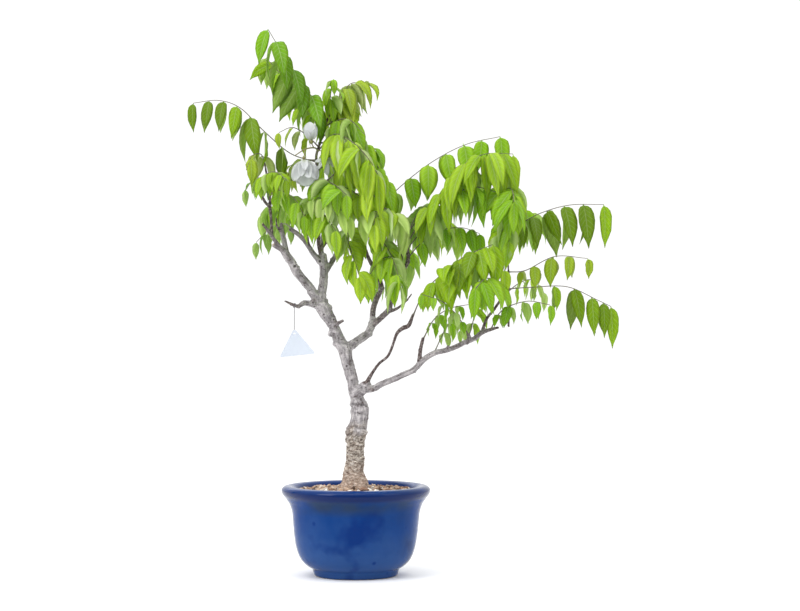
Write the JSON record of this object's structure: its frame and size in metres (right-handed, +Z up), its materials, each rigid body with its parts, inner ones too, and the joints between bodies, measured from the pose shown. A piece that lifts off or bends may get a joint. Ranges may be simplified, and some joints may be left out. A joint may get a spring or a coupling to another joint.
{
  "type": "wisteria bonsai",
  "caption": "Slender wisteria bonsai with drooping feathery leaves, a sparse white flower spray and a hanging blank tag, in a round blue glazed pot.",
  "frame": {"origin": "bottom centre of the bounding box, on the surface that the pot stands on", "axes": "+Z up along the trunk, +X to the right towards the long side limbs, -Y to the front that faces the viewer"},
  "size_m": [0.6118, 0.3074, 0.7697],
  "materials": {
    "pot_glaze": "gloss",
    "soil_grit": "rough grit",
    "bark": "rough bark",
    "leaf_bright": "satin leaf",
    "leaf_mid": "satin leaf",
    "leaf_dark": "satin leaf",
    "leaf_olive": "satin leaf",
    "leaf_pale": "matt leaf",
    "flower_stalk": "matt",
    "petal": "soft matt",
    "thread": "matt",
    "tag_paper": "matt"
  },
  "bodies": {
    "root": {"pot": "pot_glaze", "soil": "soil_grit", "wood": "bark", "frond_crown_left": "leaf_mid", "frond_crown_left_rear": "leaf_bright", "frond_left_arch": "leaf_bright", "frond_crown_right": "leaf_olive", "frond_crown_tip": "leaf_mid", "frond_right_shoulder": "leaf_mid", "frond_right_shoulder_rear": "leaf_dark", "frond_centre_front": "leaf_bright", "frond_long_right": "leaf_mid", "frond_right_fan": "leaf_bright", "frond_right_facing": "leaf_mid", "frond_far_right_upper": "leaf_bright", "frond_far_right_mid": "leaf_olive", "frond_far_right_lower": "leaf_bright", "frond_far_right_near": "leaf_mid", "frond_low_right": "leaf_bright", "frond_spur_back": "leaf_mid", "frond_spur_front": "leaf_dark", "frond_outer_spur_up": "leaf_mid", "frond_pale_drape": "leaf_pale", "frond_left_low": "leaf_mid", "frond_centre_low": "leaf_bright", "frond_centre_right": "leaf_mid", "frond_pale_centre": "leaf_pale", "frond_dark_right": "leaf_dark", "frond_low_middle": "leaf_dark", "frond_left_tip": "leaf_olive", "frond_left_inner": "leaf_olive", "frond_centre_dark": "leaf_dark", "frond_rear_left": "leaf_mid", "frond_rear_upper": "leaf_bright", "frond_rear_middle": "leaf_mid", "frond_rear_cut_limb": "leaf_dark", "frond_rear_right": "leaf_mid", "frond_rear_right_high": "leaf_bright", "frond_rear_far_right": "leaf_mid", "frond_rear_low_right": "leaf_mid", "frond_rear_outer": "leaf_bright", "frond_rear_left_twig": "leaf_dark", "frond_rear_crown": "leaf_olive", "frond_front_left": "leaf_bright", "frond_centre_mid": "leaf_mid", "frond_centre_hang": "leaf_bright", "frond_left_young": "leaf_olive", "frond_right_fan_low": "leaf_dark", "frond_front_right": "leaf_mid", "raceme_stalk": "flower_stalk", "bloom_upper": "petal", "bloom_lower": "petal", "bloom_side": "petal", "tag_loop": "thread", "tag_thread": "thread", "tag": "tag_paper"}
  },
  "joints": []
}
